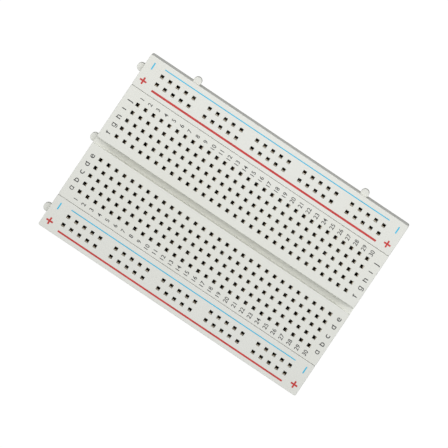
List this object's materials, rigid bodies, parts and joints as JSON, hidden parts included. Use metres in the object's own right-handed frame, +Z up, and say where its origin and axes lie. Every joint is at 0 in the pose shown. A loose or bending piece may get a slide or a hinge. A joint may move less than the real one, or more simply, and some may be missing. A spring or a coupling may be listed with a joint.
{
  "type": "solderless breadboard",
  "caption": "Half-size solderless breadboard: terminal block with a centre channel between two detachable power rails, spring clips inside and adhesive foam backing.",
  "frame": {"origin": "middle of the centre channel in plan, on the underside of the release liners, which is the plane that the board lies on", "axes": "+X along the board's length from column 1 to column 30, +Y across it from row a to row j, +Z up out of the tie points"},
  "size_m": [0.0841, 0.0566, 0.0095],
  "materials": {
    "housing": "satin",
    "contact_metal": "satin",
    "foam": "matte",
    "liner": "satin"
  },
  "bodies": {
    "bottom_bus": {"bottom_bus_block": "housing", "bottom_bus_clip_minus": "contact_metal", "bottom_bus_clip_plus": "contact_metal", "bottom_bus_foam_pad": "foam", "bottom_bus_release_liner": "liner"},
    "terminal": {"terminal_block": "housing", "clip_column_01": "contact_metal", "clip_column_02": "contact_metal", "clip_column_03": "contact_metal", "clip_column_04": "contact_metal", "clip_column_05": "contact_metal", "clip_column_06": "contact_metal", "clip_column_07": "contact_metal", "clip_column_08": "contact_metal", "clip_column_09": "contact_metal", "clip_column_10": "contact_metal", "clip_column_11": "contact_metal", "clip_column_12": "contact_metal", "clip_column_13": "contact_metal", "clip_column_14": "contact_metal", "clip_column_15": "contact_metal", "clip_column_16": "contact_metal", "clip_column_17": "contact_metal", "clip_column_18": "contact_metal", "clip_column_19": "contact_metal", "clip_column_20": "contact_metal", "clip_column_21": "contact_metal", "clip_column_22": "contact_metal", "clip_column_23": "contact_metal", "clip_column_24": "contact_metal", "clip_column_25": "contact_metal", "clip_column_26": "contact_metal", "clip_column_27": "contact_metal", "clip_column_28": "contact_metal", "clip_column_29": "contact_metal", "clip_column_30": "contact_metal", "terminal_foam_pad": "foam", "terminal_release_liner": "liner"},
    "top_bus": {"top_bus_block": "housing", "top_bus_clip_minus": "contact_metal", "top_bus_clip_plus": "contact_metal", "top_bus_foam_pad": "foam", "top_bus_release_liner": "liner"}
  },
  "joints": [
    {"name": "terminal_block_lift", "type": "slide", "parent": "bottom_bus", "child": "terminal", "axis": [0, 0, 1], "range_m": [0, 0.01]},
    {"name": "top_bus_lift", "type": "slide", "parent": "terminal", "child": "top_bus", "axis": [0, 0, 1], "range_m": [0, 0.01]}
  ]
}
